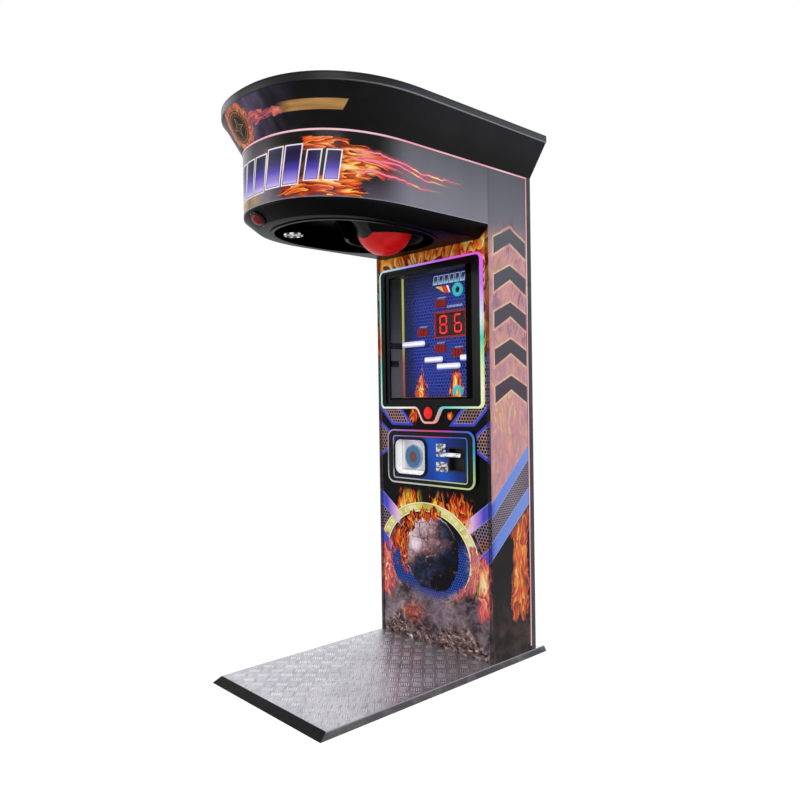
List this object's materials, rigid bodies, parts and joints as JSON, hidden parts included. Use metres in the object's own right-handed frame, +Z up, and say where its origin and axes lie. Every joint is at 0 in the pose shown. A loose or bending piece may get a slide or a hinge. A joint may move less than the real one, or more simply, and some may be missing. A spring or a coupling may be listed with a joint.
{
  "type": "boxing arcade machine",
  "caption": "Free-standing boxing arcade machine: lit column on a tread platform, flared canopy with a swinging punch ball, score display and coin door.",
  "frame": {"origin": "on the floor, midway between the front of the crown and the back of the platform, on the centre line", "axes": "+Z up, +Y towards the back door, +X to the right of a player who faces the display"},
  "size_m": [0.86, 1.263, 2.2],
  "materials": {
    "steel_frame": "satin powder coat",
    "rubber_black": "moulded",
    "tread": "raised basket-weave pattern, worn gloss",
    "ramp_black": "satin paint",
    "ramp_grey": "satin paint",
    "print_side": null,
    "print_front": null,
    "black_gloss": "polished",
    "black_matte": "fine texture",
    "back_steel": "powder coat",
    "chrome": "polished",
    "zinc": "zinc plated",
    "column_light": "lit",
    "display_light": "lit",
    "coin_light": "lit",
    "canopy_light": "lit",
    "clear_glass": "tinted, polished",
    "box_inside": "lit inside",
    "score_print": "printed hexagon mesh, lit",
    "digit_red": "lit segments",
    "lamp_cyan": "lit",
    "tube_light": "lit",
    "button_red": "lit from inside",
    "dish_white": "glossy",
    "disc_print": "printed ring",
    "print_band": null,
    "print_crown": null,
    "rim_grey": "satin paint",
    "arm_steel": "machined",
    "ball_red": "glossy stitched skin",
    "iron": "painted",
    "board_green": "printed circuit board"
  },
  "bodies": {
    "cabinet": {"platform_frame": "steel_frame", "floor_pads": "rubber_black", "tread_plate": "tread", "ramp_front": "ramp_black", "ramp_sides": "ramp_grey", "column_frame": "steel_frame", "side_panel_left": "print_side", "side_panel_right": "print_side", "front_panel": "print_front", "edge_trims": "black_matte", "back_panels": "back_steel", "column_leds": "column_light", "display_bezel": "black_gloss", "display_led": "display_light", "display_glass": "clear_glass", "display_box": "box_inside", "score_panel": "score_print", "score_displays": "digit_red", "panel_lamps": "lamp_cyan", "light_tubes": "tube_light", "start_bezel": "chrome", "coin_chute": "zinc", "cash_box": "zinc", "canopy_band": "print_band", "canopy_led": "canopy_light", "crown_shell": "print_crown", "crown_rim": "rim_grey", "top_cover": "black_matte", "lower_shell": "black_gloss", "tray": "black_gloss", "ball_cup": "black_gloss", "canopy_frame": "steel_frame", "downlight": "chrome", "canopy_button_bezel": "black_gloss", "bearing_blocks": "iron", "optical_sensor": "black_matte", "holding_magnet": "zinc", "bump_stop": "rubber_black", "power_inlet": "black_matte", "power_supply": "zinc", "main_board": "board_green"},
    "ball_arm": {"axle": "zinc", "swing_arm": "arm_steel", "punch_ball": "ball_red", "armature": "zinc", "encoder_vane": "zinc"},
    "start_plunger": {"start_button": "button_red"},
    "canopy_plunger": {"canopy_button": "button_red"},
    "coin_door": {"coin_door": "black_gloss", "coin_leds": "coin_light", "reader_bezel": "black_gloss", "reader_dish": "dish_white", "reader_disc": "disc_print", "coin_entry": "chrome", "coin_mech": "black_matte"},
    "coin_lever": {"coin_lever": "chrome"},
    "coin_lock": {"coin_lock": "chrome"},
    "back_door": {"back_door": "back_steel"},
    "back_lock": {"back_lock": "zinc"},
    "power_rocker": {"power_switch": "button_red"}
  },
  "joints": [
    {"name": "ball_swing", "type": "hinge", "parent": "cabinet", "child": "ball_arm", "pos_m": [0, -0.2715, 1.88], "axis": [-1, 0, 0], "range_deg": [0, 90]},
    {"name": "start_press", "type": "slide", "parent": "cabinet", "child": "start_plunger", "axis": [0, 1, 0], "range_m": [0, 0.004], "stiffness_N_per_m": 400, "springref_m": -0.005},
    {"name": "canopy_press", "type": "slide", "parent": "cabinet", "child": "canopy_plunger", "axis": [0, 0.6495, 0.7604], "range_m": [0, 0.004], "stiffness_N_per_m": 400, "springref_m": -0.005},
    {"name": "coin_door_turn", "type": "hinge", "parent": "cabinet", "child": "coin_door", "pos_m": [-0.27, 0.2875, 0.847], "axis": [0, 0, -1], "range_deg": [0, 100]},
    {"name": "coin_lever_turn", "type": "hinge", "parent": "coin_door", "child": "coin_lever", "pos_m": [0.09, 0.2805, 0.867], "axis": [0, 1, 0], "range_deg": [0, 14], "stiffness_Nm_per_rad": 0.6, "springref_deg": -28.65},
    {"name": "coin_lock_turn", "type": "hinge", "parent": "coin_door", "child": "coin_lock", "pos_m": [0.081, 0.2805, 0.813], "axis": [0, -1, 0], "range_deg": [0, 90]},
    {"name": "back_door_turn", "type": "hinge", "parent": "cabinet", "child": "back_door", "pos_m": [-0.293, 0.5785, 1.02], "axis": [0, 0, 1], "range_deg": [0, 110]},
    {"name": "back_lock_turn", "type": "hinge", "parent": "back_door", "child": "back_lock", "pos_m": [0.269, 0.5735, 1.02], "axis": [0, -1, 0], "range_deg": [0, 90]},
    {"name": "power_rock", "type": "hinge", "parent": "cabinet", "child": "power_rocker", "pos_m": [0.19, 0.5725, 0.129], "axis": [-1, 0, 0], "range_deg": [0, 14]}
  ]
}
